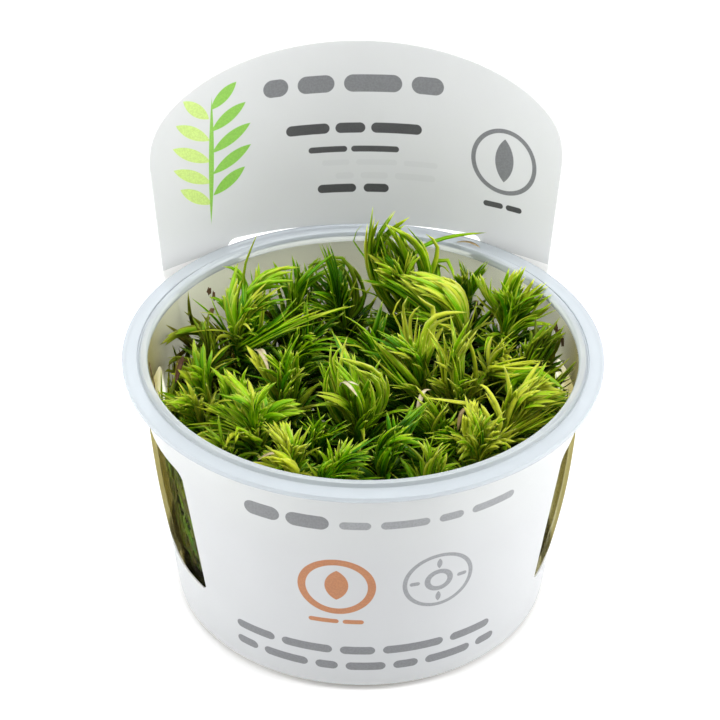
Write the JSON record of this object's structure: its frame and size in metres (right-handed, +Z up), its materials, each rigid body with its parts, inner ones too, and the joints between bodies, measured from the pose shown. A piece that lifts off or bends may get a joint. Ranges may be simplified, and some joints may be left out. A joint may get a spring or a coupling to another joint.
{
  "type": "tissue culture aquarium plant in cup",
  "caption": "Clear flanged plastic cup with a printed sleeve and tall arched tongue, filled with a dense crowd of narrow-leaved green plant shoots on growth gel.",
  "frame": {"origin": "middle of the cup's flat foot, on the surface that it stands on", "axes": "+Z up along the cup's axis, +Y towards the back where the tongue stands, so that the printed front faces -Y"},
  "size_m": [0.1, 0.1031, 0.1027],
  "materials": {
    "clear_plastic": "clear, glossy, thin moulded wall",
    "printed_sheet": "semi-gloss white sheet with grey, copper and green print",
    "growth_gel": "soft, wet, cloudy gel",
    "fresh_leaf": "moist, thin, slightly translucent leaf",
    "yellow_leaf": "moist, thin, slightly translucent leaf",
    "dark_leaf": "moist, thin, slightly translucent leaf",
    "olive_leaf": "older leaf, dull olive to brown"
  },
  "bodies": {
    "root": {"cup": "clear_plastic", "label_sleeve": "printed_sheet", "growth_medium": "growth_gel", "shoot_back_tall": "fresh_leaf", "shoot_back_swirl": "fresh_leaf", "shoot_left_back": "fresh_leaf", "shoot_left_star": "fresh_leaf", "shoot_centre_bud": "fresh_leaf", "shoot_centre_spiky": "yellow_leaf", "shoot_right_back": "dark_leaf", "shoot_right_front": "fresh_leaf", "shoot_front_right": "fresh_leaf", "shoot_centre_pale": "fresh_leaf", "shoot_left_brown": "olive_leaf", "shoot_back_dark": "dark_leaf", "shoot_left_middle": "fresh_leaf", "shoot_front_left": "yellow_leaf", "shoot_front_centre": "fresh_leaf", "shoot_front_middle": "dark_leaf", "shoot_left_yellow": "yellow_leaf", "shoot_left_pale": "fresh_leaf", "shoot_right_brown": "olive_leaf", "shoot_right_middle": "yellow_leaf", "shoot_right_low": "dark_leaf", "shoot_front_low": "fresh_leaf", "shoot_middle_low": "dark_leaf", "shoot_left_low": "dark_leaf", "shoot_back_left_low": "dark_leaf", "shoot_front_edge": "olive_leaf", "shoot_front_inner": "dark_leaf", "shoot_left_inner": "fresh_leaf", "shoot_back_right_low": "dark_leaf", "shoot_front_gap": "fresh_leaf"}
  },
  "joints": []
}
